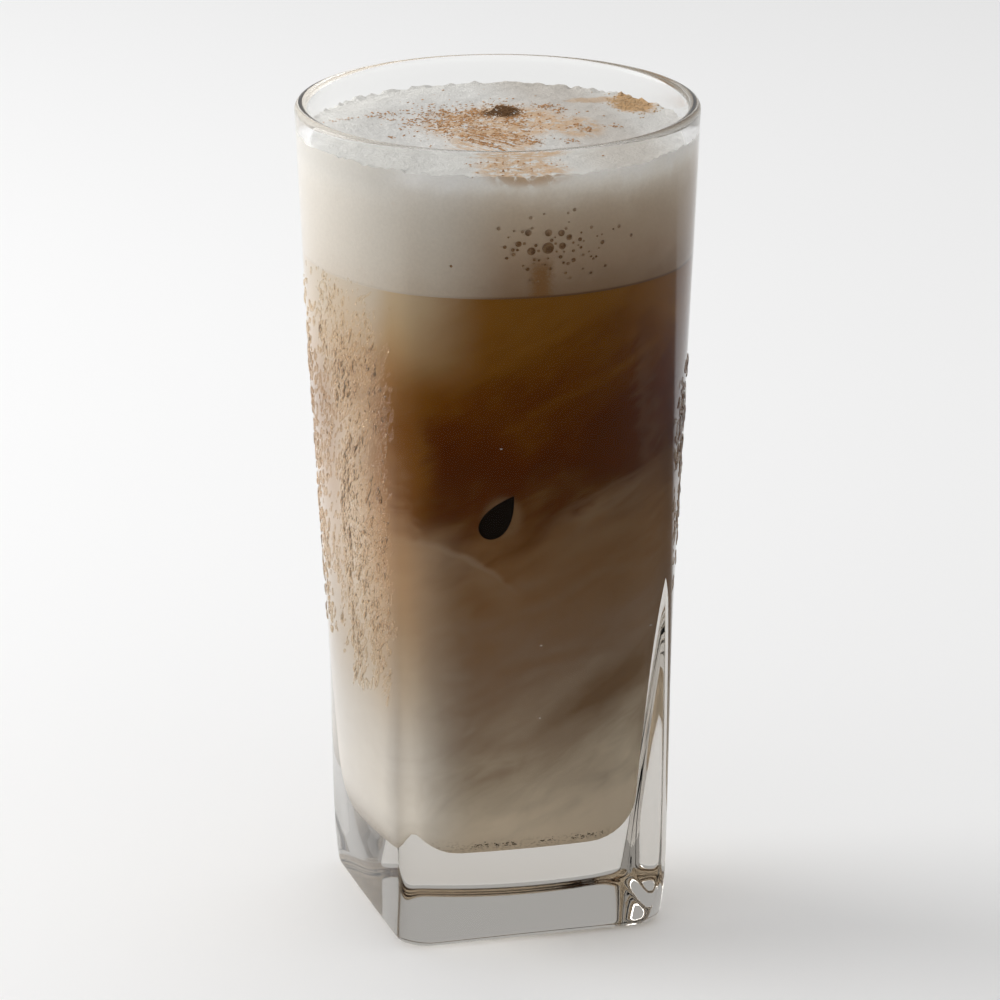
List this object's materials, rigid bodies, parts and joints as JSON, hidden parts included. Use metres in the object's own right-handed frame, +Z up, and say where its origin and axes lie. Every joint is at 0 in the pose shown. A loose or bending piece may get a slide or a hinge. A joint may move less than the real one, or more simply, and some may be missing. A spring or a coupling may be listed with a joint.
{
  "type": "salt coffee in a glass",
  "caption": "Salt coffee in a tall square-footed glass: pale milk below dark coffee, with a thick cap of salted cream dusted with cocoa.",
  "frame": {"origin": "middle of the foot's underside, on the surface that the glass stands on", "axes": "+Z up along the glass's axis; the front side, where the cream's bubbles show, faces -Y"},
  "size_m": [0.0724, 0.0724, 0.15],
  "materials": {
    "clear_glass": "clear pressed glass, polished",
    "milk": "milk clouded with coffee",
    "coffee": "dark coffee with milky wisps",
    "cream": "fine matt foam dusted with cocoa"
  },
  "bodies": {
    "root": {"glass": "clear_glass", "milk_layer": "milk", "coffee_layer": "coffee", "cream_foam": "cream"}
  },
  "joints": []
}
